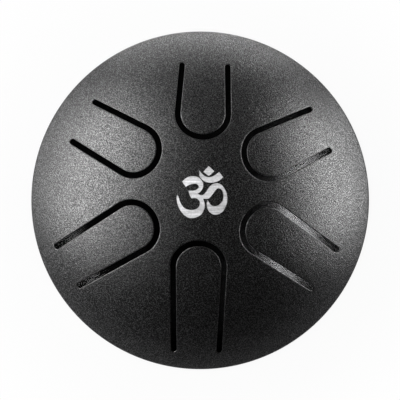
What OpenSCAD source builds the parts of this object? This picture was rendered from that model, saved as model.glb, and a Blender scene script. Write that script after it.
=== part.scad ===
// Steel tongue drum: two pressed steel domes welded at the rim, six tongues, a sound hole and three feet.
// Millimetres. The origin is the middle of the drum on the surface it stands on, +Z is up.
// +Y points from the middle towards the shortest tongue, which plays the highest note.

/* [Domes] */
// Diameter of the drum over the weld bead at its rim
drum_d = 100; // [92:0.5:120]
// Height of each dome above the seam
dome_h = 26; // [22:0.5:30]
// Thickness of the steel sheet
sheet_t = 1.2; // [0.8:0.1:1.5]
// Height above the seam at which the dome would meet the upright rim without its bend
rim_h = 2; // [1.8:0.1:3]
// Outside radius of the bend between dome and rim
rim_r = 2; // [1.6:0.1:3]

/* [Rim weld] */
// Depth of the groove ground along the seam
groove_depth = 0.6; // [0.3:0.05:0.7]
// Height of the weld bead over the rim
bead_crown = 0.1; // [0.05:0.05:0.4]

/* [Tongue slots] */
// Width of the slots
slot_w = 1.6; // [1.2:0.1:2]
// Distance between a tongue's two slots, middle to middle, at the root
root_span = 13.2; // [11:0.1:14.4]
// Distance between a tongue's two slots, middle to middle, where the round tip starts
tip_span = 14.6; // [12:0.1:15.4]
// Depth of the round tip
tip_depth = 6.8; // [5:0.1:7.5]
// Free play between a tongue's root and the dome it hinges on
root_gap = 0.05; // [0.02:0.01:0.1]

/* [Tongue 1, the lowest note] */
// Direction of the tongue seen from above
tongue_1_angle = 268.6; // [266:0.1:272]
// Distance of its middle line from the drum's axis
tongue_1_shift = 0; // [-1:0.1:1]
// Distance from the drum's edge to its root, along the tongue
tongue_1_margin = 6.4; // [5.8:0.1:9]
// Distance from the drum's axis to its tip
tongue_1_tip = 12.3; // [11.8:0.1:15]

/* [Tongue 2] */
// Direction of the tongue seen from above
tongue_2_angle = 210.7; // [209:0.1:212]
// Distance of its middle line from the drum's axis
tongue_2_shift = -3.2; // [-4:0.1:-2.8]
// Distance from the drum's edge to its root, along the tongue
tongue_2_margin = 7.2; // [6.4:0.1:10]
// Distance from the drum's axis to its tip
tongue_2_tip = 13.7; // [13.2:0.1:16]

/* [Tongue 3] */
// Direction of the tongue seen from above
tongue_3_angle = 325.8; // [325:0.1:328]
// Distance of its middle line from the drum's axis
tongue_3_shift = 3.8; // [3.6:0.1:5]
// Distance from the drum's edge to its root, along the tongue
tongue_3_margin = 9.2; // [7:0.1:12]
// Distance from the drum's axis to its tip
tongue_3_tip = 13.7; // [13.2:0.1:16]

/* [Tongue 4] */
// Direction of the tongue seen from above
tongue_4_angle = 150.8; // [149:0.1:152]
// Distance of its middle line from the drum's axis
tongue_4_shift = -3.4; // [-4:0.1:-2.8]
// Distance from the drum's edge to its root, along the tongue
tongue_4_margin = 9.3; // [7:0.1:12]
// Distance from the drum's axis to its tip
tongue_4_tip = 16.5; // [15.5:0.1:19]

/* [Tongue 5] */
// Direction of the tongue seen from above
tongue_5_angle = 25; // [24:0.1:27]
// Distance of its middle line from the drum's axis
tongue_5_shift = 3.9; // [3.4:0.1:4.6]
// Distance from the drum's edge to its root, along the tongue
tongue_5_margin = 10; // [7:0.1:12]
// Distance from the drum's axis to its tip
tongue_5_tip = 16.5; // [15.5:0.1:19]

/* [Tongue 6, the highest note] */
// Direction of the tongue seen from above
tongue_6_angle = 87.7; // [86:0.1:90]
// Distance of its middle line from the drum's axis
tongue_6_shift = 0.2; // [-0.6:0.1:1]
// Distance from the drum's edge to its root, along the tongue
tongue_6_margin = 10.9; // [7:0.1:13]
// Distance from the drum's axis to its tip
tongue_6_tip = 18.2; // [17:0.1:20]

/* [Engraved om sign] */
// Width of the sign
om_w = 14.5; // [10:0.5:16]
// Depth of the engraving, through the coat and just into the steel
om_depth = 0.1; // [0.05:0.05:0.3]
// Distance of the sign's middle from the drum's axis, to the right
om_x = 0.5; // [-1:0.05:1]
// Distance of the sign's middle from the drum's axis, towards the shortest tongue
om_y = 2.4; // [1:0.1:3]

/* [Sound hole] */
// Diameter of the hole in the bottom dome
sound_hole_d = 22; // [12:0.5:30]

/* [Feet] */
// Distance from the drum's axis to where a foot's axis meets the bottom dome
foot_circle_r = 26; // [24:0.5:30]
// Diameter of a foot where it meets the dome
foot_d = 14; // [13:0.5:16]
// Diameter of a foot at its free end
foot_tip_d = 12.4; // [11.5:0.1:12.8]
// Height of a foot along its axis
foot_h = 7; // [6:0.5:9]
// Radius of the rounded edge at the free end
foot_edge_r = 1; // [0.5:0.1:1.3]
// Thickness of the rubber under the screw's washer
foot_floor_t = 2.5; // [1.5:0.1:3]
// Depth to which a foot's edge is pressed flat where it stands
foot_flat = 0.8; // [0.4:0.1:1]

/* [Foot screws] */
// Thread diameter of the screws
screw_d = 3; // [2.5:0.1:3.2]
// Length of the screws under the head
screw_l = 8; // [7.2:0.1:9]
// Diameter of the screw heads
head_d = 5.6; // [4.8:0.1:6.2]
// Height of the screw heads
head_h = 2; // [1.4:0.1:2.4]
// Width of one arm of the cross recess
cross_w = 0.8; // [0.5:0.1:1]
// Length of the cross recess from end to end
cross_l = 3.2; // [2:0.1:3.6]
// Depth of the cross recess
cross_depth = 1.1; // [0.5:0.1:1.3]
// Outside diameter of the washers
washer_d = 7; // [6.4:0.1:7.2]
// Thickness of the washers
washer_t = 0.5; // [0.3:0.1:0.8]
// Width of the nuts across their flats
nut_w = 5.5; // [5:0.1:6]
// Height of the nuts
nut_h = 2.4; // [1.8:0.1:2.6]

/* [Hidden] */
// Free play of the screws in the washers, the feet and the dome, on the radius
hole_gap = 0.15;
// Free play of the screws in the nuts, on the radius
thread_gap = 0.02;
// Free play between pieces that are clamped together
seat_gap = 0.02;
// Free play of the washer in the foot's recess, on the radius
recess_gap = 0.25;
// How far a cut runs past the surface it cuts
cut_over = 1;

// Number of flat steps along a tongue's round tip, a slot's round end, the rim's bend and a small round edge
tip_steps = 18;
end_steps = 6;
bend_steps = 4;
edge_steps = 6;
// Number of straight steps between two points of the sign's outline
om_steps = 3;

$fn = 180;

// Radius of the domes at the rim, under the weld bead
rim_x = drum_d / 2 - bead_crown;
// Radius of the dome's outer surface, and the height of its middle over the seam
dome_r = (pow(rim_x, 2) + pow(dome_h - rim_h, 2)) / (2 * (dome_h - rim_h));
dome_c = dome_h - dome_r;
// Middle of the rim's bend
bend_x = rim_x - rim_r;
bend_z = dome_c + sqrt(pow(dome_r - rim_r, 2) - pow(bend_x, 2));
// Slope of the line from the dome's middle to the end of the bend
bend_end = atan2(bend_z - dome_c, bend_x);

foot_angles = [90, 210, 330];
foot_tilt = asin(foot_circle_r / dome_r);
// Lowest point of a foot that isn't pressed flat, measured from the seam
foot_edge_x = foot_tip_d / 2 - foot_edge_r;
foot_low = -dome_c - (dome_r + foot_h - foot_edge_r) * cos(foot_tilt) - foot_edge_x * sin(foot_tilt) - foot_edge_r;
// Height of the seam over the surface that the drum stands on
seam_z = -foot_low - foot_flat;

// Places along a foot's axis, measured outwards from the middle of the bottom dome
inner_r = dome_r - sheet_t;
washer_in_z = sqrt(pow(inner_r, 2) - pow(washer_d / 2, 2)) - seat_gap - washer_t;
nut_z = washer_in_z - seat_gap - nut_h;
recess_z = dome_r + foot_floor_t;
washer_out_z = recess_z + seat_gap;
head_z = washer_out_z + washer_t + seat_gap;

hole_r = screw_d / 2 + hole_gap;
recess_r = washer_d / 2 + recess_gap;

// Each tongue's direction, sideways shift, and distances from the drum's axis to its root and its tip
TONGUES = [
    [tongue_1_angle, tongue_1_shift, drum_d / 2 - tongue_1_margin, tongue_1_tip],
    [tongue_2_angle, tongue_2_shift, drum_d / 2 - tongue_2_margin, tongue_2_tip],
    [tongue_3_angle, tongue_3_shift, drum_d / 2 - tongue_3_margin, tongue_3_tip],
    [tongue_4_angle, tongue_4_shift, drum_d / 2 - tongue_4_margin, tongue_4_tip],
    [tongue_5_angle, tongue_5_shift, drum_d / 2 - tongue_5_margin, tongue_5_tip],
    [tongue_6_angle, tongue_6_shift, drum_d / 2 - tongue_6_margin, tongue_6_tip]
];

// Outline of the sign in shares of its width, from its middle. A third number marks a sharp corner.
om_body_shares = [
    [-0.392, 0.208, 1], [-0.321, 0.269], [-0.246, 0.306], [-0.171, 0.315], [-0.086, 0.297], [-0.035, 0.259],
    [0.008, 0.203], [0.026, 0.142], [0.017, 0.081], [-0.021, 0.015], [-0.086, -0.037, 1],
    [-0.03, -0.06], [0.017, -0.055], [0.073, -0.004], [0.12, 0.071], [0.177, 0.137], [0.28, 0.176],
    [0.383, 0.142], [0.463, 0.034], [0.5, -0.098], [0.486, -0.238], [0.421, -0.37], [0.355, -0.422],
    [0.289, -0.445], [0.205, -0.436], [0.12, -0.361], [0.087, -0.238], [0.111, -0.154, 1],
    [0.148, -0.22], [0.205, -0.271], [0.289, -0.271], [0.364, -0.224], [0.411, -0.145], [0.416, -0.051],
    [0.392, 0.034], [0.336, 0.071], [0.289, 0.057], [0.233, -0.013], [0.177, -0.088], [0.12, -0.131],
    [0.022, -0.13, 1], [0.05, -0.21], [0.054, -0.285], [0.026, -0.379], [-0.039, -0.464], [-0.18, -0.515],
    [-0.312, -0.483], [-0.424, -0.37], [-0.49, -0.22], [-0.5, -0.098], [-0.483, -0.046, 1],
    [-0.453, -0.116], [-0.424, -0.21], [-0.359, -0.304], [-0.274, -0.346], [-0.19, -0.351], [-0.105, -0.328],
    [-0.054, -0.271], [-0.044, -0.201], [-0.077, -0.145], [-0.133, -0.121], [-0.208, -0.126, 1],
    [-0.246, -0.06], [-0.274, 0.029, 1], [-0.199, 0.026], [-0.124, 0.038], [-0.068, 0.081], [-0.072, 0.128],
    [-0.115, 0.161], [-0.18, 0.161], [-0.255, 0.137], [-0.321, 0.1, 1]
];
om_crescent_shares = [
    [-0.056, 0.43, 1], [-0.054, 0.334], [-0.035, 0.287], [0.017, 0.231], [0.083, 0.197], [0.167, 0.182],
    [0.27, 0.195], [0.355, 0.236], [0.419, 0.292, 1], [0.336, 0.398, 1],
    [0.252, 0.334], [0.177, 0.299], [0.101, 0.297], [0.026, 0.334]
];
om_dot_shares = [[0.13, 0.515, 1], [0.244, 0.408, 1], [0.137, 0.315, 1], [0.023, 0.398, 1]];

// Points of an arc about a middle, from one angle to another
function arc(middle, radius, from, to, steps) = [
    for (i = [0:steps])
        let (a = from + (to - from) * i / steps)
        middle + radius * [cos(a), sin(a)]
];

// A smooth closed curve through the given points, straight into and out of the sharp corners
function slope_out(p, i) =
    let (n = len(p), a = p[(i + n - 1) % n], b = p[i % n], c = p[(i + 1) % n])
    len(b) == 3 ? [c.x - b.x, c.y - b.y] : [c.x - a.x, c.y - a.y] / 2;
function slope_in(p, i) =
    let (n = len(p), a = p[(i + n - 1) % n], b = p[i % n], c = p[(i + 1) % n])
    len(b) == 3 ? [b.x - a.x, b.y - a.y] : [c.x - a.x, c.y - a.y] / 2;
function between(a, b, out, into, u) =
    a * (2 * pow(u, 3) - 3 * pow(u, 2) + 1) + b * (3 * pow(u, 2) - 2 * pow(u, 3))
    + out * (pow(u, 3) - 2 * pow(u, 2) + u) + into * (pow(u, 3) - pow(u, 2));
function is_straight(p, i) = len(p[i]) == 3 && len(p[(i + 1) % len(p)]) == 3;
function smooth(p, steps) = [
    for (i = [0:len(p) - 1])
        let (a = p[i], b = p[(i + 1) % len(p)])
        for (k = [0:(is_straight(p, i) ? 0 : steps - 1)])
            between([a.x, a.y], [b.x, b.y], slope_out(p, i), slope_in(p, i + 1), k / steps)
];

// One edge of a tongue's slot, at a distance outside the slot's middle line, from root round the tip to root
function slot_edge(root, tip, out) = concat(
    [[root, root_span / 2 + out]],
    [
        for (i = [0:tip_steps])
            let (
                a = 90 + 180 * i / tip_steps,
                across = [cos(a) / tip_depth, sin(a) * 2 / tip_span]
            )
            [tip + tip_depth * (1 + cos(a)), tip_span / 2 * sin(a)] + out * across / norm(across)
    ],
    [[root, -root_span / 2 - out]]
);
// What is cut out of the dome for a tongue: the slot with its round ends, and the tongue inside it
function opening_outline(root, tip) =
    let (last = acos(2 * root_gap / slot_w))
    concat(
        slot_edge(root, tip, slot_w / 2),
        arc([root, -root_span / 2], slot_w / 2, -90 + (last + 90) / end_steps, last, end_steps - 1),
        arc([root, root_span / 2], slot_w / 2, -last, 90 - (last + 90) / end_steps, end_steps - 1)
    );

// Half of a section that bounds the dome at its rim: upright edge, bend, then clear of the dome's round surface
function rim_outline(inset, low) = concat(
    [[0, low], [rim_x - inset, low]],
    arc([bend_x, bend_z], rim_r - inset, 0, bend_end, bend_steps),
    let (
        step = bend_end / bend_steps,
        ends = arc([bend_x, bend_z], rim_r - inset, bend_end - step, bend_end, 1),
        over = (ends[1] - ends[0]) * dome_h / (ends[1].y - ends[0].y)
    )
    [ends[1] + over, [0, ends[1].y + over.y]]
);

// A ball with its poles turned to the sides, away from the dome
module dome_ball(r) {
    translate([0, 0, dome_c])
        rotate([90, 0, 0])
            sphere(r = r);
}

// The dome's outer form, shrunk by inset, from low up to its top
module dome_form(inset, low) {
    intersection() {
        dome_ball(dome_r - inset);
        rotate_extrude()
            polygon(rim_outline(inset, low));
    }
}

// One pressed dome standing on its seam, with the outside of its edge ground back for the weld
module pressed_dome() {
    difference() {
        dome_form(0, 0);
        dome_form(sheet_t, -cut_over);
        rotate_extrude()
            polygon([
                [rim_x - groove_depth, 0],
                [rim_x - groove_depth - cut_over, -cut_over],
                [rim_x + cut_over, -cut_over],
                [rim_x + cut_over, groove_depth + cut_over]
            ]);
    }
}

module at_tongue(t) {
    rotate([0, 0, t[0]])
        translate([0, t[1], 0])
            children();
}

module om_sign() {
    translate([om_x, om_y]) {
        polygon(om_w * smooth(om_body_shares, om_steps));
        polygon(om_w * smooth(om_crescent_shares, om_steps));
        polygon(om_w * smooth(om_dot_shares, om_steps));
    }
}

// The upper dome: six openings for the tongues, and the sign engraved in its top
module top_shell() {
    color("#2c2c2e")
        translate([0, 0, seam_z])
            difference() {
                pressed_dome();
                for (t = TONGUES)
                    at_tongue(t)
                        linear_extrude(height = dome_h + cut_over)
                            polygon(opening_outline(t[2], t[3]));
                difference() {
                    linear_extrude(height = dome_h + cut_over)
                        om_sign();
                    dome_ball(dome_r - om_depth);
                }
            }
}

// One tongue, cut from the same sheet as the dome around it
module tongue(t) {
    color("#303032")
        translate([0, 0, seam_z])
            intersection() {
                pressed_dome();
                at_tongue(t)
                    linear_extrude(height = dome_h + cut_over)
                        polygon(slot_edge(t[2], t[3], -slot_w / 2));
            }
}

// Turns a piece that stands along +Z from the middle of the bottom dome onto the axis of foot n
module on_foot_axis(n) {
    translate([0, 0, seam_z - dome_c])
        rotate([0, foot_tilt - 180, foot_angles[n - 1] + 180])
            children();
}

// The lower dome: the sound hole in its middle and a hole for each foot's screw
module bottom_shell() {
    color("#262628")
        difference() {
            translate([0, 0, seam_z])
                rotate([180, 0, 0])
                    pressed_dome();
            cylinder(r = sound_hole_d / 2, h = seam_z);
            for (n = [1:len(foot_angles)])
                on_foot_axis(n)
                    translate([0, 0, inner_r - cut_over])
                        cylinder(r = hole_r, h = sheet_t + 2 * cut_over);
        }
}

// The weld bead that fills the groove all round the seam and stands a little over the rim
module rim_weld() {
    crown_r = (pow(groove_depth, 2) + pow(bead_crown, 2)) / (2 * bead_crown);
    crown_half = asin(groove_depth / crown_r);
    color("#1f1f21")
        translate([0, 0, seam_z])
            rotate_extrude()
                polygon(concat(
                    [[rim_x - groove_depth, 0]],
                    arc([rim_x + bead_crown - crown_r, 0], crown_r, -crown_half, crown_half, edge_steps)
                ));
}

// One rubber foot: a blunt cone on the dome, a recess for the screw, its edge pressed flat where it stands
module foot(n) {
    tip_z = dome_r + foot_h;
    color("#161616")
        difference() {
            on_foot_axis(n)
                difference() {
                    rotate_extrude()
                        polygon(concat(
                            [[hole_r, inner_r], [foot_d / 2, inner_r], [foot_d / 2, dome_r]],
                            arc([foot_edge_x, tip_z - foot_edge_r], foot_edge_r, 0, 90, edge_steps),
                            [[recess_r, tip_z], [recess_r, recess_z], [hole_r, recess_z]]
                        ));
                    rotate([90, 0, 0])
                        sphere(r = dome_r + seat_gap);
                }
            translate([-drum_d, -drum_d, -drum_d])
                cube([2 * drum_d, 2 * drum_d, drum_d]);
        }
}

// One flat washer on a foot's axis, z from the middle of the bottom dome
module washer(n, z) {
    color("#b9bcc0")
        on_foot_axis(n)
            translate([0, 0, z])
                difference() {
                    cylinder(r = washer_d / 2, h = washer_t);
                    translate([0, 0, -cut_over])
                        cylinder(r = hole_r, h = washer_t + 2 * cut_over);
                }
}

// One screw with a low round head and a cross recess, its thread drawn plain
module foot_screw(n) {
    dome = (pow(head_d / 2, 2) + pow(head_h, 2)) / head_h;
    color("#c4c7cb")
        on_foot_axis(n)
            translate([0, 0, head_z])
                difference() {
                    union() {
                        translate([0, 0, -screw_l])
                            cylinder(r = screw_d / 2, h = screw_l + head_h / 2);
                        intersection() {
                            cylinder(r = head_d / 2, h = head_h);
                            translate([0, 0, head_h - dome])
                                rotate([90, 0, 0])
                                    sphere(r = dome);
                        }
                    }
                    for (turn = [0, 90])
                        rotate([0, 0, turn])
                            translate([-cross_l / 2, -cross_w / 2, head_h - cross_depth])
                                cube([cross_l, cross_w, cross_depth + cut_over]);
                }
}

// One hexagon nut inside the drum
module foot_nut(n) {
    color("#b4b7bb")
        on_foot_axis(n)
            translate([0, 0, nut_z])
                difference() {
                    cylinder(r = nut_w / sqrt(3), h = nut_h, $fn = 6);
                    translate([0, 0, -cut_over])
                        cylinder(r = screw_d / 2 + thread_gap, h = nut_h + 2 * cut_over);
                }
}

top_shell();
for (n = [1:len(TONGUES)])
    tongue(TONGUES[n - 1]);
bottom_shell();
rim_weld();
for (n = [1:len(foot_angles)]) {
    foot(n);
    washer(n, washer_out_z);
    foot_screw(n);
    washer(n, washer_in_z);
    foot_nut(n);
}
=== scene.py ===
"""Looks of the steel tongue drum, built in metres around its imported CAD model."""
import math

import bmesh
import bpy
from mathutils import Matrix, Vector


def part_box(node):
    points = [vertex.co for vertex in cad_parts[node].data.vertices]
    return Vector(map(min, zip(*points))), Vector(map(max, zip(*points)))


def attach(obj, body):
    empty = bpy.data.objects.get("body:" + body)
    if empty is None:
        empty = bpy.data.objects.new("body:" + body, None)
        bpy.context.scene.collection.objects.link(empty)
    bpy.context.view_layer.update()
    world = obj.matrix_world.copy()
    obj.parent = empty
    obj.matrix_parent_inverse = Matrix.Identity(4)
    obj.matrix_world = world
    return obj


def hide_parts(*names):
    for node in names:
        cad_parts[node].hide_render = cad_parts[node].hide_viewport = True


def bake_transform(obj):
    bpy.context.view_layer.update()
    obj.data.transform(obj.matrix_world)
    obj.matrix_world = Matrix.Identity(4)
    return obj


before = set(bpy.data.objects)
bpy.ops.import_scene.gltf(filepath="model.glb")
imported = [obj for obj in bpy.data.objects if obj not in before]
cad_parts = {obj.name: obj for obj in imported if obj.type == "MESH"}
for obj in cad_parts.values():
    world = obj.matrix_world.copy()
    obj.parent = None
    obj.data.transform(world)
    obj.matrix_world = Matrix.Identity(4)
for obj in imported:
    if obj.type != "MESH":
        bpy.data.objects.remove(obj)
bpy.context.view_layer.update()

# Top dome with its six tongues: a disc of 1.2 mm sheet steel, powder-coated black. The slots are cut by laser
# and their outer edges broken, then the disc is pressed in a die and its edge turned down to the seam.
MM = 0.001
SHEET_T = 1.2 * MM
DRUM_R = 50 * MM
DOME_H = 26 * MM
RIM_X = 49.9 * MM
RIM_H = 2 * MM
BEND_R = 2 * MM
GROOVE = 0.6 * MM
DOME_R = (RIM_X ** 2 + (DOME_H - RIM_H) ** 2) / (2 * (DOME_H - RIM_H))
DOME_C = DOME_H - DOME_R
BEND_X = RIM_X - BEND_R
BEND_Z = DOME_C + math.sqrt((DOME_R - BEND_R) ** 2 - BEND_X ** 2)
BEND_END = math.atan2(BEND_Z - DOME_C, BEND_X)
SEAM_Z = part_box("top_shell")[0].z

SLOT_W = 1.6 * MM
ROOT_SPAN = 13.2 * MM
TIP_SPAN = 14.6 * MM
TIP_DEPTH = 6.8 * MM
EDGE_BREAK = 0.3 * MM
TONGUES = {
    "tongue_1": (268.6, 0, 6.4 * MM, 12.3 * MM),
    "tongue_2": (210.7, -3.2 * MM, 7.2 * MM, 13.7 * MM),
    "tongue_3": (325.8, 3.8 * MM, 9.2 * MM, 13.7 * MM),
    "tongue_4": (150.8, -3.4 * MM, 9.3 * MM, 16.5 * MM),
    "tongue_5": (25, 3.9 * MM, 10 * MM, 16.5 * MM),
    "tongue_6": (87.7, 0.2 * MM, 10.9 * MM, 18.2 * MM),
}
FLEX = 4 * MM
OM_DEPTH = 0.1 * MM

RING_STEPS = 256
RING_W = 2 * MM
BEND_STEPS = 6
TIP_STEPS = 48
SLOT_END_R = 0.42 * SLOT_W
GRID = 1.5 * MM
GRID_SHIFT = 0.37
TINY = 0.001 * MM


def alone(obj=None):
    """Leaves edit mode, deselects everything, and selects obj if there is one."""
    if bpy.context.mode != "OBJECT":
        bpy.ops.object.mode_set(mode="OBJECT")
    bpy.ops.object.select_all(action="DESELECT")
    if obj:
        obj.select_set(True)
        bpy.context.view_layer.objects.active = obj


def edit(obj):
    """Leaves obj alone selected, in edit mode."""
    alone(obj)
    bpy.ops.object.mode_set(mode="EDIT")


def done():
    bpy.ops.object.mode_set(mode="OBJECT")


def pick(kind, test):
    """Selects the faces, edges or verts of the piece in edit mode that pass the test."""
    bpy.ops.mesh.select_mode(type={"verts": "VERT", "edges": "EDGE", "faces": "FACE"}[kind])
    bpy.ops.mesh.select_all(action="DESELECT")
    mesh = bmesh.from_edit_mesh(bpy.context.object.data)
    for part in getattr(mesh, kind):
        if not part.hide and test(part):
            part.select_set(True)
    mesh.select_flush_mode()
    bmesh.update_edit_mesh(bpy.context.object.data)


def modify(obj, kind, **settings):
    """Adds a modifier, sets it and applies it."""
    alone(obj)
    bpy.ops.object.modifier_add(type=kind)
    modifier = obj.modifiers[-1]
    for name, value in settings.items():
        setattr(modifier, name, value)
    bpy.ops.object.modifier_apply(modifier=modifier.name)


def cut(obj, cutter, operation="DIFFERENCE"):
    modify(obj, "BOOLEAN", operation=operation, solver="EXACT", object=cutter)
    bpy.data.objects.remove(cutter)


def flat_disc(name):
    """A disc of sheet, outer face up at z = 0, as wide as the dome is where its bend begins."""
    alone()
    widest = [BEND_X * r / (DOME_R - BEND_R) for r in (DOME_R - SHEET_T, DOME_R)]
    bpy.ops.mesh.primitive_cone_add(
        vertices=RING_STEPS, radius1=widest[0], radius2=widest[1], depth=SHEET_T,
        location=(0, 0, -SHEET_T / 2))
    disc = bpy.context.object
    disc.name = disc.data.name = name
    bpy.ops.object.transform_apply(location=True)
    edit(disc)
    pick("faces", lambda f: abs(f.normal.z) > 0.9)
    bpy.ops.mesh.inset(thickness=RING_W, use_individual=True)
    done()
    return disc


def slot_cutter(angle, shift, margin, tip):
    """The laser's path round one tongue, a slot wide, standing through the disc."""
    start_x = tip + TIP_DEPTH
    end_x = DRUM_R - margin + SLOT_W / 2
    alone()
    bpy.ops.mesh.primitive_circle_add(vertices=TIP_STEPS, radius=1)
    path = bpy.context.object
    edit(path)
    bpy.ops.mesh.select_all(action="SELECT")
    bpy.ops.transform.resize(value=(TIP_DEPTH, TIP_SPAN / 2, 1), center_override=(0, 0, 0))
    bpy.ops.transform.translate(value=(start_x, 0, -2 * SHEET_T))
    pick("verts", lambda v: v.co.x > start_x + TINY)
    bpy.ops.mesh.delete(type="VERT")
    for side in (1, -1):
        pick("verts", lambda v: abs(v.co.x - start_x) < TINY and v.co.y * side > 0)
        bpy.ops.mesh.extrude_vertices_move(TRANSFORM_OT_translate={
            "value": (end_x - start_x, side * (ROOT_SPAN - TIP_SPAN) / 2, 0)})
    bpy.ops.mesh.select_mode(type="EDGE")
    bpy.ops.mesh.select_all(action="SELECT")
    bpy.ops.mesh.extrude_edges_move(TRANSFORM_OT_translate={"value": (0, 0, 3 * SHEET_T)})
    modify(path, "SOLIDIFY", thickness=SLOT_W, offset=0, use_even_offset=True)
    edit(path)
    pick("edges", lambda e: all(v.co.x > end_x - 0.1 * MM for v in e.verts) and
         abs(e.verts[0].co.z - e.verts[1].co.z) > SHEET_T)
    bpy.ops.mesh.bevel(offset=SLOT_END_R, segments=6, affect="EDGES", clamp_overlap=False)
    bpy.ops.mesh.select_all(action="SELECT")
    bpy.ops.mesh.normals_make_consistent(inside=False)
    done()
    turn = Matrix.Rotation(math.radians(angle), 4, "Z")
    path.matrix_world = turn @ Matrix.Translation((0, shift, 0))
    return path


def sign_outline(low, high):
    """A flat slab with the outline of the engraved sign, taken from the floor of the CAD dome's engraving."""
    middle = Vector((0, 0, SEAM_Z + DOME_C))
    floor_r = DOME_R - OM_DEPTH
    slab = bpy.data.objects.new("om_sign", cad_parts["top_shell"].data.copy())
    bpy.context.scene.collection.objects.link(slab)
    edit(slab)
    bpy.ops.mesh.select_all(action="SELECT")
    bpy.ops.mesh.remove_doubles(threshold=TINY)
    pick("faces", lambda f: not (f.normal.z > 0.8 and
                                 abs((f.calc_center_median() - middle).length - floor_r) < 0.45 * OM_DEPTH))
    bpy.ops.mesh.delete(type="FACE")
    bpy.ops.mesh.select_all(action="SELECT")
    bpy.ops.transform.resize(value=(1, 1, 0), center_override=(0, 0, 0))
    bpy.ops.transform.translate(value=(0, 0, low))
    bpy.ops.mesh.dissolve_limited(angle_limit=math.radians(1))
    bpy.ops.mesh.select_all(action="SELECT")
    bpy.ops.mesh.extrude_region_move(TRANSFORM_OT_translate={"value": (0, 0, high - low)})
    bpy.ops.mesh.select_all(action="SELECT")
    bpy.ops.mesh.normals_make_consistent(inside=False)
    done()
    return slab


def cut_grid(obj):
    """Cuts the disc inside its edge ring into a fine grid, so that it can be pressed round."""
    edit(obj)
    pick("faces", lambda f: f.calc_center_median().xy.length > RIM_X - BEND_R - RING_W / 2)
    bpy.ops.mesh.hide(unselected=False)
    steps = int(BEND_X / GRID)
    for across in ((1, 0, 0), (0, 1, 0)):
        for n in range(-steps, steps + 1):
            bpy.ops.mesh.select_all(action="SELECT")
            bpy.ops.mesh.bisect(
                plane_co=[(n + GRID_SHIFT) * GRID * a for a in across], plane_no=across, threshold=TINY)
    bpy.ops.mesh.reveal(select=False)
    done()


def press(obj, up):
    """Presses the flat disc round: its outer face onto the dome's outside, its inner face onto the inside."""
    for v in obj.data.vertices:
        r2 = v.co.x ** 2 + v.co.y ** 2
        outside = math.sqrt(DOME_R ** 2 - r2)
        inside = math.sqrt((DOME_R - SHEET_T) ** 2 - r2)
        depth = -v.co.z / SHEET_T
        v.co.z = SEAM_Z + up * (DOME_C + outside + (inside - outside) * depth)


def turn_down_rim(obj, up):
    """Draws the dome's edge round the bend and down to the seam, and closes it there."""
    edit(obj)
    rings = []
    for bend_r in (BEND_R, BEND_R - SHEET_T):
        bend = [BEND_END * (1 - n / BEND_STEPS) for n in range(BEND_STEPS + 1)]
        rings.append([(BEND_X + bend_r * math.cos(a), BEND_Z + bend_r * math.sin(a)) for a in bend])
    rings[0] += [(RIM_X, GROOVE), (RIM_X - GROOVE, 0)]
    rings[1] += [(RIM_X - SHEET_T, 0)]

    def on_ring(v, ring):
        return (abs(v.co.xy.length - ring[0]) < 5 * TINY and abs(v.co.z - SEAM_Z - up * ring[1]) < 5 * TINY)

    outer, inner = rings[0][0], rings[1][0]
    pick("faces", lambda f: any(on_ring(v, outer) for v in f.verts) and
         any(on_ring(v, inner) for v in f.verts))
    bpy.ops.mesh.delete(type="FACE")
    for ring in rings:
        pick("edges", lambda e: all(on_ring(v, ring[0]) for v in e.verts))
        for (r0, z0), (r1, z1) in zip(ring, ring[1:]):
            bpy.ops.mesh.extrude_edges_move(TRANSFORM_OT_translate={"value": (0, 0, up * (z1 - z0))})
            bpy.ops.transform.resize(value=(r1 / r0, r1 / r0, 1), center_override=(0, 0, 0))
    pick("edges", lambda e: all(on_ring(v, rings[0][-1]) or on_ring(v, rings[1][-1]) for v in e.verts))
    bpy.ops.mesh.bridge_edge_loops()
    bpy.ops.mesh.select_all(action="SELECT")
    bpy.ops.mesh.normals_make_consistent(inside=False)
    done()


def shade(obj, angle=35):
    alone(obj)
    bpy.ops.object.shade_smooth_by_angle(angle=math.radians(angle))


def shade_dome(obj, up, radius=DOME_R):
    """Shades the piece smoothly. What lies on the ball of the given radius gets that ball's true normals."""
    shade(obj)
    middle = Vector((0, 0, SEAM_Z + up * DOME_C))
    normals = []
    for v in obj.data.vertices:
        away = v.co - middle
        on_dome = abs(away.length - radius) < 2 * TINY
        normals.append(away.normalized() if on_dome else Vector((0, 0, 0)))
    obj.data.normals_split_custom_set_from_vertices(normals)


disc = flat_disc("top_shell_coated")
for sizes in TONGUES.values():
    cut(disc, slot_cutter(*sizes))
edit(disc)
pick("edges", lambda e: all(abs(v.co.z) < TINY and v.co.xy.length < BEND_X - RING_W / 2 for v in e.verts) and
     any(abs(f.normal.z) < 0.1 for f in e.link_faces))
bpy.ops.mesh.bevel(offset=EDGE_BREAK, segments=4, affect="EDGES", clamp_overlap=False)
done()
cut(disc, sign_outline(-OM_DEPTH, SHEET_T))
cut_grid(disc)


def in_tongue(point, angle, shift, margin):
    """A point's place from the middle of a tongue's root: outwards along the tongue, and sideways."""
    a = math.radians(angle)
    return (point.x * math.cos(a) + point.y * math.sin(a) - (DRUM_R - margin),
            -point.x * math.sin(a) + point.y * math.cos(a) - shift)


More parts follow.
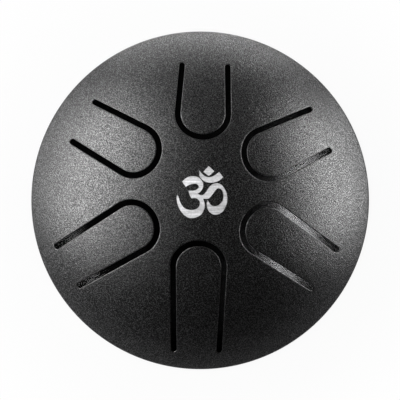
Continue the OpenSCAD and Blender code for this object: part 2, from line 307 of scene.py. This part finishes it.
edit(disc)
for angle, shift, margin, tip in TONGUES.values():
    a = math.radians(angle)
    along = Vector((math.cos(a), math.sin(a), 0))
    inside = (ROOT_SPAN - SLOT_W) / 2

    def near_root(f):
        x, y = in_tongue(f.calc_center_median(), angle, shift, margin)
        return abs(x) < 2 * GRID and abs(y) < inside + 0.4 * SLOT_W

    pick("faces", near_root)
    bpy.ops.mesh.bisect(plane_co=along * (DRUM_R - margin), plane_no=along, threshold=TINY)

    def on_root(e):
        ends = [in_tongue(v.co, angle, shift, margin) for v in e.verts]
        return all(abs(x) < 3 * TINY and abs(y) < inside + 0.1 * SLOT_W for x, y in ends)

    pick("edges", on_root)
    bpy.ops.mesh.edge_split(type="EDGE")
bpy.ops.mesh.select_all(action="SELECT")
bpy.ops.mesh.delete_loose()
bpy.ops.mesh.select_all(action="SELECT")
bpy.ops.mesh.separate(type="LOOSE")
done()
parts = list(bpy.context.selected_objects)
for part in parts:
    edit(part)
    bpy.ops.mesh.select_mode(type="EDGE")
    bpy.ops.mesh.select_all(action="SELECT")
    bpy.ops.mesh.fill_holes(sides=0)
    done()
    press(part, 1)
top_shell = max(parts, key=lambda part: part.dimensions.x + part.dimensions.y)
top_shell.name = "top_shell_coated"
turn_down_rim(top_shell, 1)
shade_dome(top_shell, 1)


class Shade:
    """A socket of a material's node tree. Sums and products of sockets add the Math nodes for them."""

    def __init__(self, tree, socket=None):
        self.tree = tree
        self.socket = socket

    def node(self, kind, settings=None, inputs=None, out=0):
        """Adds a node, makes its settings, fills its inputs with values or links, and gives one output."""
        node = self.tree.nodes.new("ShaderNode" + kind)
        for name, value in (settings or {}).items():
            setattr(node, name, value)
        for name, value in (inputs or {}).items():
            if isinstance(value, Shade):
                self.tree.links.new(value.socket, node.inputs[name])
            else:
                node.inputs[name].default_value = value
        return Shade(self.tree, node.outputs[out]) if len(node.outputs) else None

    def math(self, operation, a, b=0.0):
        return self.node("Math", {"operation": operation}, {0: a, 1: b})

    def __add__(self, other):
        return self.math("ADD", self, other)

    def __radd__(self, other):
        return self.math("ADD", other, self)

    def __sub__(self, other):
        return self.math("SUBTRACT", self, other)

    def __rsub__(self, other):
        return self.math("SUBTRACT", other, self)

    def __mul__(self, other):
        return self.math("MULTIPLY", self, other)

    def __rmul__(self, other):
        return self.math("MULTIPLY", other, self)

    def __lt__(self, other):
        return self.math("LESS_THAN", self, other)

    def mix(self, colour_a, colour_b):
        """Colour a where this value is 0, b where it is 1. A Mix node's colours are its sockets 6 and 7."""
        return self.node("Mix", {"data_type": "RGBA"}, {0: self, 6: colour_a, 7: colour_b}, out=2)


def new_material(name):
    material = bpy.data.materials.new(name)
    material.use_nodes = True
    material.node_tree.nodes.clear()
    return material, Shade(material.node_tree)


def grey(level):
    return (level, level, level * 1.02, 1)


GRAIN_SCALE = 3600
SPECK_SCALE = 3300
CLOUD_SCALE = 260
GRAIN_TURN = (0.5, 0.4, 0.7)
GRAIN_H = 0.042 * MM
BARE_DEPTH = 0.95 * MM


def coated_steel(name, middle_z, bare_inside):
    """Black sand-textured powder coat, with bare steel on the inside of the dome round middle_z if asked.

    Steep noise makes the grains, which stand up from the surface. A second noise gives them paler tips, a
    painted sparkle that stands in for grains glinting in the lamps' light.
    """
    material, start = new_material(name)
    place = start.node("TexCoord", out="Object")
    turned = start.node("Mapping", None, {"Vector": place, "Rotation": GRAIN_TURN})
    noise = start.node("TexNoise", None, {
        "Vector": turned, "Scale": GRAIN_SCALE, "Detail": 1, "Roughness": 0.8}, "Fac")
    grain = start.node("Math", {"operation": "MULTIPLY_ADD", "use_clamp": True}, {0: noise, 1: 5.2, 2: -2.1})
    cloud = start.node("TexNoise", None, {"Vector": turned, "Scale": CLOUD_SCALE, "Detail": 2}, "Fac")
    specks = start.node("TexNoise", None, {"Vector": turned, "Scale": SPECK_SCALE, "Detail": 0}, "Fac")
    # Paler tips on some grains: painted sparkle, colour standing in for grain facets that glint in the lamps.
    painted_sparkle = start.node("Math", {"operation": "MULTIPLY_ADD", "use_clamp": True}, {0: specks, 1: 8.0, 2: -4.2})
    colour = painted_sparkle.mix(grey(0.0003), grey(0.036))
    shine = (1 - grain * 0.6 - painted_sparkle * 0.4) * 0.8
    roughness = 0.42 - grain * 0.12
    height = grain + cloud * 0.5
    if bare_inside:
        away = start.node("VectorMath", {"operation": "SUBTRACT"}, {0: place, 1: (0, 0, middle_z)})
        distance = start.node("VectorMath", {"operation": "LENGTH"}, {0: away}, "Value")
        flat_place = start.node("VectorMath", {"operation": "MULTIPLY"}, {0: place, 1: (1, 1, 0)})
        radius = start.node("VectorMath", {"operation": "LENGTH"}, {0: flat_place}, "Value")
        bare = (distance < DOME_R - BARE_DEPTH) * (radius < RIM_X - GROOVE)
        colour = bare.mix(colour, cloud.mix(grey(0.17), grey(0.25)))
        shine = shine * (1 - bare) + bare
        roughness = roughness * (1 - bare) + (cloud * 0.06 + 0.19) * bare
        height = height * (1 - bare)
    bump = start.node("Bump", None, {
        "Strength": 1.0, "Distance": GRAIN_H, "Filter Width": 0.6, "Height": height})
    shader = start.node("BsdfPrincipled", None, {
        "Base Color": colour, "Metallic": shine, "Roughness": roughness, "Specular IOR Level": 1.0,
        "Normal": bump})
    start.node("OutputMaterial", None, {"Surface": shader})
    return material


top_coat = coated_steel("powder_coat_top", SEAM_Z + DOME_C, False)


def clad(obj, material):
    """Gives a piece its material."""
    obj.data.materials.clear()
    obj.data.materials.append(material)


clad(top_shell, top_coat)
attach(top_shell, "drum")
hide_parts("top_shell")

for name, (angle, shift, margin, tip) in TONGUES.items():
    a = math.radians(angle)
    along = Vector((math.cos(a), math.sin(a), 0))
    side = Vector((-math.sin(a), math.cos(a), 0)) * shift
    middle = along * (tip + DRUM_R - margin) / 2 + side
    tongue = min((part for part in parts if part != top_shell),
                 key=lambda part: (sum((Vector(c) for c in part.bound_box), Vector()) / 8 - middle).xy.length)
    tongue.name = tongue.data.name = name + "_coated"
    edit(tongue)
    bpy.ops.mesh.select_all(action="SELECT")
    bpy.ops.mesh.normals_make_consistent(inside=False)
    done()
    shade_dome(tongue, 1)
    clad(tongue, top_coat)
    root = along * (DRUM_R - margin) + side + Vector((0, 0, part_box(name)[0].z))
    root - along * FLEX
    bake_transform(tongue)
    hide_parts(name)

# Om sign: the bare steel floor of the engraving in the middle of the top dome, 0.1 mm deep. A marking laser
# has taken the coat off in fine lines, which still show in the steel.
SIGN_T = 0.06 * MM
SIGN_LOW = -OM_DEPTH - SIGN_T / 2
SIGN_TOP = -OM_DEPTH + SIGN_T / 2

sign = sign_outline(SIGN_LOW, SIGN_TOP)
sign.name = sign.data.name = "om_sign"
cut_grid(sign)
press(sign, 1)
shade_dome(sign, 1, DOME_R + SIGN_TOP)
engraved, start = new_material("engraved_steel")
place = start.node("TexCoord", out="Object")
stretched = start.node("Mapping", None, {"Vector": place, "Scale": (160, 2400, 400)})
lines = start.node("TexNoise", None, {"Vector": stretched, "Scale": 1, "Detail": 2}, "Fac")
speckle = start.node("TexNoise", None, {"Vector": place, "Scale": 1700, "Detail": 2}, "Fac")
tone = (lines * 0.65 + speckle * 0.35 - 0.5) * 2.4 + 0.5
shader = start.node("BsdfPrincipled", None, {
    "Base Color": tone.mix(grey(0.4), grey(0.82)), "Metallic": 0.4, "Roughness": 0.5 + tone * 0.2,
    "Normal": start.node("Bump", None, {"Strength": 0.4, "Distance": 0.02 * MM, "Height": tone})})
start.node("OutputMaterial", None, {"Surface": shader})
clad(sign, engraved)
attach(sign, "drum")

# Bottom dome: a second disc from the same die, with a round sound hole punched in its middle and three screw
# holes. It is coated outside only, so its bare inside shines through the slots.
SOUND_HOLE_R = 11 * MM
FOOT_CIRCLE_R = 26 * MM
SCREW_HOLE_R = 1.65 * MM
ROUND_STEPS = 96
HOLE_STEPS = 32
FOOT_TILT = math.asin(FOOT_CIRCLE_R / DOME_R)
FOOT_AXIS = (Matrix.Translation((0, 0, SEAM_Z - DOME_C)) @ Matrix.Rotation(math.radians(270), 4, "Z")
             @ Matrix.Rotation(FOOT_TILT - math.pi, 4, "Y"))
THIRDS = [Matrix.Rotation(math.radians(120 * n), 4, "Z") for n in range(3)]


def cylinder(radius, low, high, steps=64):
    alone()
    bpy.ops.mesh.primitive_cylinder_add(
        vertices=steps, radius=radius, depth=high - low, location=(0, 0, (low + high) / 2))
    bpy.ops.object.transform_apply(location=True)
    return bpy.context.object


bottom_shell = flat_disc("bottom_shell_coated")
cut(bottom_shell, cylinder(SOUND_HOLE_R, -2 * SHEET_T, SHEET_T, ROUND_STEPS))
edit(bottom_shell)
pick("edges", lambda e: all(v.co.xy.length < SOUND_HOLE_R + TINY for v in e.verts) and
     abs(e.verts[0].co.z - e.verts[1].co.z) < TINY)
bpy.ops.mesh.bevel(offset=EDGE_BREAK, segments=3, affect="EDGES", clamp_overlap=False)
cut_grid(bottom_shell)
press(bottom_shell, -1)
turn_down_rim(bottom_shell, -1)
for third in THIRDS:
    drill = cylinder(SCREW_HOLE_R, DOME_R - 3 * SHEET_T, DOME_R + SHEET_T, HOLE_STEPS)
    drill.matrix_world = third @ FOOT_AXIS
    cut(bottom_shell, drill)
shade_dome(bottom_shell, -1)
clad(bottom_shell, coated_steel("powder_coat_bottom", SEAM_Z - DOME_C, True))
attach(bottom_shell, "drum")
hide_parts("bottom_shell")

# Rim weld: the edges of both domes are ground back to a groove, one bead of weld fills it all round the drum,
# and the coat goes over it. The bead stands 0.1 mm over the rim and has the faint ripple of its passes.
BEAD_CROWN = 0.1 * MM
BEAD_R = (GROOVE ** 2 + BEAD_CROWN ** 2) / (2 * BEAD_CROWN)
RIPPLE = 0.04 * MM
RIPPLE_L = 1.6 * MM

alone()
bpy.ops.mesh.primitive_circle_add(
    vertices=ROUND_STEPS, radius=BEAD_R, location=(RIM_X + BEAD_CROWN - BEAD_R, 0, SEAM_Z),
    rotation=(math.pi / 2, 0, 0))
weld = bpy.context.object
weld.name = weld.data.name = "rim_weld_bead"
bpy.ops.object.transform_apply(location=True, rotation=True)
edit(weld)
pick("verts", lambda v: abs(v.co.z - SEAM_Z) > GROOVE or v.co.x < RIM_X - BEAD_CROWN)
bpy.ops.mesh.delete(type="VERT")
for side in (1, -1):
    edge_z = max(side * (v.co.z - SEAM_Z) for v in bmesh.from_edit_mesh(weld.data).verts)
    edge_x = min(v.co.x for v in bmesh.from_edit_mesh(weld.data).verts if v.co.x > RIM_X - BEAD_CROWN)
    pick("verts", lambda v: side * (v.co.z - SEAM_Z) > edge_z - TINY)
    bpy.ops.mesh.extrude_vertices_move(TRANSFORM_OT_translate={
        "value": (RIM_X - GROOVE - edge_x, 0, -side * edge_z)})
bpy.ops.mesh.select_all(action="SELECT")
bpy.ops.mesh.remove_doubles(threshold=TINY)
bpy.ops.mesh.spin(steps=RING_STEPS, angle=2 * math.pi, center=(0, 0, 0), axis=(0, 0, 1))
bpy.ops.mesh.select_all(action="SELECT")
bpy.ops.mesh.remove_doubles(threshold=TINY)
bpy.ops.mesh.normals_make_consistent(inside=False)
done()
passes = bpy.data.textures.new("weld_passes", "CLOUDS")
passes.noise_scale = RIPPLE_L
modify(weld, "DISPLACE", texture=passes, texture_coords="LOCAL", strength=RIPPLE, mid_level=1)
shade(weld)
clad(weld, top_coat)
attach(weld, "drum")
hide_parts("rim_weld")

# Feet: three blunt cones of moulded black rubber, 120 degrees apart, each with a deep recess for its screw.
# Their upper ends fit the round dome, and the drum's weight presses their lower edges flat on the table.
FOOT_R = 7 * MM
FOOT_TIP_R = 6.2 * MM
FOOT_H = 7 * MM
FOOT_EDGE_R = 1 * MM
FOOT_FLOOR_T = 2.5 * MM
RECESS_R = 3.75 * MM
RECESS_EDGE_R = 0.4 * MM
SEAT_GAP = 0.02 * MM

taper = (FOOT_R - FOOT_TIP_R) / (FOOT_H - FOOT_EDGE_R)
tip_z = DOME_R + FOOT_H
alone()
bpy.ops.mesh.primitive_cone_add(
    vertices=ROUND_STEPS, radius1=FOOT_R, radius2=FOOT_R - taper * FOOT_H, depth=FOOT_H,
    location=(0, 0, DOME_R + FOOT_H / 2))
foot = bpy.context.object
bpy.ops.object.transform_apply(location=True)
edit(foot)
pick("edges", lambda e: all(v.co.z > tip_z - TINY for v in e.verts))
bpy.ops.mesh.bevel(offset=FOOT_EDGE_R, segments=6, affect="EDGES", clamp_overlap=False)
pick("faces", lambda f: f.normal.z < -0.9)
bpy.ops.mesh.extrude_region_move(TRANSFORM_OT_translate={"value": (0, 0, -2 * SHEET_T)})
pick("faces", lambda f: f.normal.z > 0.99)
face_r = max(v.co.xy.length for v in bmesh.from_edit_mesh(foot.data).verts if v.co.z > tip_z - TINY)
bpy.ops.mesh.inset(thickness=face_r - RECESS_R)
bpy.ops.mesh.extrude_region_move(TRANSFORM_OT_translate={"value": (0, 0, FOOT_FLOOR_T - FOOT_H)})
pick("edges", lambda e: all(v.co.z > tip_z - TINY and v.co.xy.length < RECESS_R + TINY for v in e.verts))
bpy.ops.mesh.bevel(offset=RECESS_EDGE_R, segments=4, affect="EDGES", clamp_overlap=False)
cut(foot, cylinder(SCREW_HOLE_R, DOME_R - 3 * SHEET_T, DOME_R + FOOT_H, HOLE_STEPS))
foot.matrix_world = FOOT_AXIS
alone()
bpy.ops.mesh.primitive_uv_sphere_add(
    segments=256, ring_count=128, radius=DOME_R + SEAT_GAP, location=(0, 0, SEAM_Z - DOME_C))
cut(foot, bpy.context.object)
alone()
bpy.ops.mesh.primitive_cube_add(size=4 * DRUM_R, location=(0, 0, -2 * DRUM_R))
cut(foot, bpy.context.object)
rubber, start = new_material("moulded_rubber")
place = start.node("TexCoord", out="Object")
grain = start.node("TexNoise", None, {"Vector": place, "Scale": 2200, "Detail": 2}, "Fac")
dust = start.node("TexNoise", None, {"Vector": place, "Scale": 180, "Detail": 4}, "Fac")
shader = start.node("BsdfPrincipled", None, {
    "Base Color": (dust * dust).mix(grey(0.012), grey(0.045)), "Roughness": 0.62 + dust * 0.2,
    "Normal": start.node("Bump", None, {"Strength": 0.4, "Distance": 0.03 * MM, "Height": grain})})
start.node("OutputMaterial", None, {"Surface": shader})


def set_round(pattern, names, material, round_edges=30):
    """Copies a piece that stands at the first foot to the other two, and dresses all three."""
    alone(pattern)
    bpy.ops.object.transform_apply(location=True, rotation=True, scale=True)
    shade(pattern, round_edges)
    for turn, (node, name) in zip(THIRDS, names):
        piece = bpy.data.objects.new(name, pattern.data.copy())
        bpy.context.scene.collection.objects.link(piece)
        piece.data.transform(turn)
        piece.data.name = name
        clad(piece, material)
        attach(piece, "drum")
        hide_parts(node)
    bpy.data.objects.remove(pattern)


set_round(foot, [(f"foot_{n}", f"rubber_foot_{n}") for n in (1, 2, 3)], rubber)

# Washers: six flat punched washers, one under each screw's head in the foot's recess and one inside the drum
# under each nut. Zinc-plated steel, their edges slightly rounded by the punch.
WASHER_R = 3.5 * MM
WASHER_T = 0.5 * MM
WASHER_EDGE_R = 0.1 * MM
inner_r = DOME_R - SHEET_T
washer_in_z = math.sqrt(inner_r ** 2 - WASHER_R ** 2) - SEAT_GAP - WASHER_T
washer_out_z = DOME_R + FOOT_FLOOR_T + SEAT_GAP

zinc, start = new_material("bright_zinc")
place = start.node("TexCoord", out="Object")
mottle = start.node("TexNoise", None, {"Vector": place, "Scale": 900, "Detail": 3}, "Fac")
shader = start.node("BsdfPrincipled", None, {
    "Base Color": mottle.mix(grey(0.5), grey(0.78)), "Metallic": 1.0, "Roughness": 0.22 + mottle * 0.2,
    "Normal": start.node("Bump", None, {"Strength": 0.2, "Distance": 0.02 * MM, "Height": mottle})})
start.node("OutputMaterial", None, {"Surface": shader})

for low, kind in ((washer_out_z, "foot_washer"), (washer_in_z, "inner_washer")):
    washer = cylinder(WASHER_R, low, low + WASHER_T)
    cut(washer, cylinder(SCREW_HOLE_R, low - WASHER_T, low + 2 * WASHER_T, HOLE_STEPS))
    modify(washer, "BEVEL", width=WASHER_EDGE_R, segments=2, limit_method="ANGLE", use_clamp_overlap=False)
    washer.matrix_world = FOOT_AXIS
    set_round(washer, [(f"{kind}_{n}", f"punched_{kind}_{n}") for n in (1, 2, 3)], zinc)

# Screws: three M3 pan-head screws with a cross recess, 8 mm long, cold-headed and zinc-plated. Each goes
# through a foot and the bottom dome into its nut.
SCREW_R = 1.5 * MM
SCREW_L = 8 * MM
HEAD_R = 2.8 * MM
HEAD_H = 2 * MM
CROSS_L = 3.2 * MM
CROSS_W = 0.8 * MM
CROSS_DEPTH = 1.1 * MM
CROSS_TAPER = 0.6
SCREW_EDGE_R = 0.08 * MM
CROWN_STEPS = 6

head_z = washer_out_z + WASHER_T + SEAT_GAP
crown_r = (HEAD_R ** 2 + HEAD_H ** 2) / HEAD_H


def crown_z(radius):
    return head_z + HEAD_H - crown_r + math.sqrt(crown_r ** 2 - radius ** 2)


screw = cylinder(HEAD_R, head_z, crown_z(HEAD_R))
edit(screw)
pick("faces", lambda f: f.normal.z > 0.9)
for n in range(1, CROWN_STEPS):
    radii = [HEAD_R * (1 - k / CROWN_STEPS) for k in (n - 1, n)]
    bpy.ops.mesh.inset(thickness=radii[0] - radii[1])
    bpy.ops.transform.translate(value=(0, 0, crown_z(radii[1]) - crown_z(radii[0])))
pick("faces", lambda f: f.normal.z < -0.9)
bpy.ops.mesh.inset(thickness=HEAD_R - SCREW_R)
bpy.ops.mesh.extrude_region_move(TRANSFORM_OT_translate={"value": (0, 0, -SCREW_L)})
for turn in (0, math.pi / 2):
    alone()
    bpy.ops.mesh.primitive_cube_add(size=1, location=(0, 0, head_z + HEAD_H), rotation=(0, 0, turn),
                                    scale=(CROSS_L, CROSS_W, 2 * CROSS_DEPTH))
    arm = bpy.context.object
    bpy.ops.object.transform_apply(location=True, rotation=True, scale=True)
    edit(arm)
    pick("faces", lambda f: f.normal.z < -0.9)
    bpy.ops.transform.resize(value=(CROSS_TAPER, CROSS_TAPER, 1), center_override=(0, 0, head_z + HEAD_H))
    done()
    cut(screw, arm)
modify(screw, "BEVEL", width=SCREW_EDGE_R, segments=2, limit_method="ANGLE", angle_limit=math.radians(40),
       use_clamp_overlap=True)
screw.matrix_world = FOOT_AXIS
set_round(screw, [(f"foot_screw_{n}", f"pan_head_screw_{n}") for n in (1, 2, 3)], zinc)

# Nuts: three M3 hexagon nuts of zinc-plated steel, their corners chamfered on both faces. They sit inside the
# drum and draw the feet against the bottom dome.
NUT_W = 5.5 * MM
NUT_H = 2.4 * MM
NUT_HOLE_R = 1.52 * MM
NUT_CHAMFER = 0.35 * MM
BLANK_SHARE = 0.995

nut_z = washer_in_z - SEAT_GAP - NUT_H
nut = cylinder(NUT_W / math.sqrt(3), nut_z, nut_z + NUT_H, 6)
blank = cylinder(BLANK_SHARE * NUT_W / math.sqrt(3), nut_z, nut_z + NUT_H)
modify(blank, "BEVEL", width=NUT_CHAMFER, segments=1, limit_method="ANGLE")
cut(nut, blank, "INTERSECT")
cut(nut, cylinder(NUT_HOLE_R, nut_z - NUT_H, nut_z + 2 * NUT_H, HOLE_STEPS))
nut.matrix_world = FOOT_AXIS
set_round(nut, [(f"foot_nut_{n}", f"hexagon_nut_{n}") for n in (1, 2, 3)], zinc, 20)

# Floor, lamps and camera. The floor is white to the camera, keeps the drum's shadow, and lets a camera below
# it look up at the drum.
# Close under the drum its white glow fades out to the grey lit floor: painted shade round the feet, over
# which the real shadow shows.
# Within 20 mm of the drum's axis the floor has none of its white glow, and out to 55 mm the glow fades in:
# painted shade under the drum, darker there than the lamps alone make it.
SHADE_R = 20 * MM
PAINTED_SHADE_OUT_R = 55 * MM
FAR_R = 50 * MM
WHITE_R = 100 * MM
PALE_SHARE = 0.96

alone()
bpy.ops.mesh.primitive_plane_add(size=8)
floor = bpy.context.object
floor.name = "floor"
white, start = new_material("white_floor")
seen = start.node("LightPath", out="Is Camera Ray")
from_below = start.node("NewGeometry", out="Backfacing")
away = start.node("VectorMath", {"operation": "LENGTH"}, {0: start.node("TexCoord", out="Object")}, "Value")
# Share of white glow, none close under the drum: painted shade there, fading out by 55 mm.
glow_past_painted_shade = start.node("MapRange", {"interpolation_type": "SMOOTHSTEP"}, {
    "Value": away, "From Min": SHADE_R, "From Max": PAINTED_SHADE_OUT_R, "To Min": 0.0, "To Max": PALE_SHARE})
far = start.node("MapRange", {"interpolation_type": "SMOOTHSTEP"}, {
    "Value": away, "From Min": FAR_R, "From Max": WHITE_R, "To Min": 0.0, "To Max": 1 - PALE_SHARE})
lit = start.node("BsdfDiffuse", None, {"Color": grey(0.3)})
glow = start.node("Emission", None, {"Color": (1, 1, 1, 1), "Strength": 1.0})
share = start.node("MixShader", None, {0: seen * (glow_past_painted_shade + far), 1: lit, 2: glow})
clear = start.node("BsdfTransparent", None, {"Color": (1, 1, 1, 1)})
start.node("OutputMaterial", None, {
    "Surface": start.node("MixShader", None, {0: seen * from_below, 1: share, 2: clear})})
floor.data.materials.append(white)


def softbox(name, azimuth, elevation, away, width, height, power):
    """A flat lamp that the camera doesn't see, turned to shine on the drum."""
    a, e = math.radians(azimuth), math.radians(elevation)
    out = Vector((math.cos(e) * math.cos(a), math.cos(e) * math.sin(a), math.sin(e)))
    lamp = bpy.data.lights.new(name, "AREA")
    lamp.shape = "RECTANGLE"
    lamp.size = width
    lamp.size_y = height
    lamp.energy = power
    obj = bpy.data.objects.new(name, lamp)
    bpy.context.scene.collection.objects.link(obj)
    obj.location = out * away + Vector((0, 0, SEAM_Z + RIM_H))
    obj.rotation_euler = (-out).to_track_quat("-Z", "Y").to_euler()
    obj.visible_camera = False


softbox("left_softbox", azimuth=165, elevation=33, away=0.5, width=0.72, height=0.2, power=6.8)
softbox("left_reflector", azimuth=163, elevation=6, away=0.25, width=0.26, height=0.08, power=0.32)
softbox("right_softbox", azimuth=13, elevation=5, away=0.25, width=0.24, height=0.12, power=1.06)
softbox("back_strip", azimuth=89, elevation=-9, away=0.16, width=0.2, height=0.008, power=0.17)
world = bpy.data.worlds.new("studio")
world.use_nodes = True
world.node_tree.nodes.clear()
start = Shade(world.node_tree)
seen = start.node("LightPath", out="Is Camera Ray")
sky = start.node("Background", None, {"Color": (1, 1, 1, 1), "Strength": seen * 0.97 + 0.03})
start.node("OutputWorld", None, {"Surface": sky})
bpy.context.scene.world = world

# The camera looks straight down. AIM_X and AIM_Y put the drum where the photo has it, and SHOWN_R is its
# radius there in pixels.
CAMERA_H = 0.7
AIM_X = -0.053 * MM
AIM_Y = 0.115 * MM
SHOWN_R = 168.87
PICTURE = 400
SENSOR = 36

camera = bpy.data.objects.new("camera", bpy.data.cameras.new("camera"))
bpy.context.scene.collection.objects.link(camera)
camera.location = (AIM_X, AIM_Y, SEAM_Z + CAMERA_H)
camera.data.sensor_width = SENSOR
camera.data.lens = SENSOR * CAMERA_H / (PICTURE * DRUM_R / SHOWN_R)
bpy.context.scene.camera = camera
bpy.context.scene.view_settings.view_transform = "Standard"
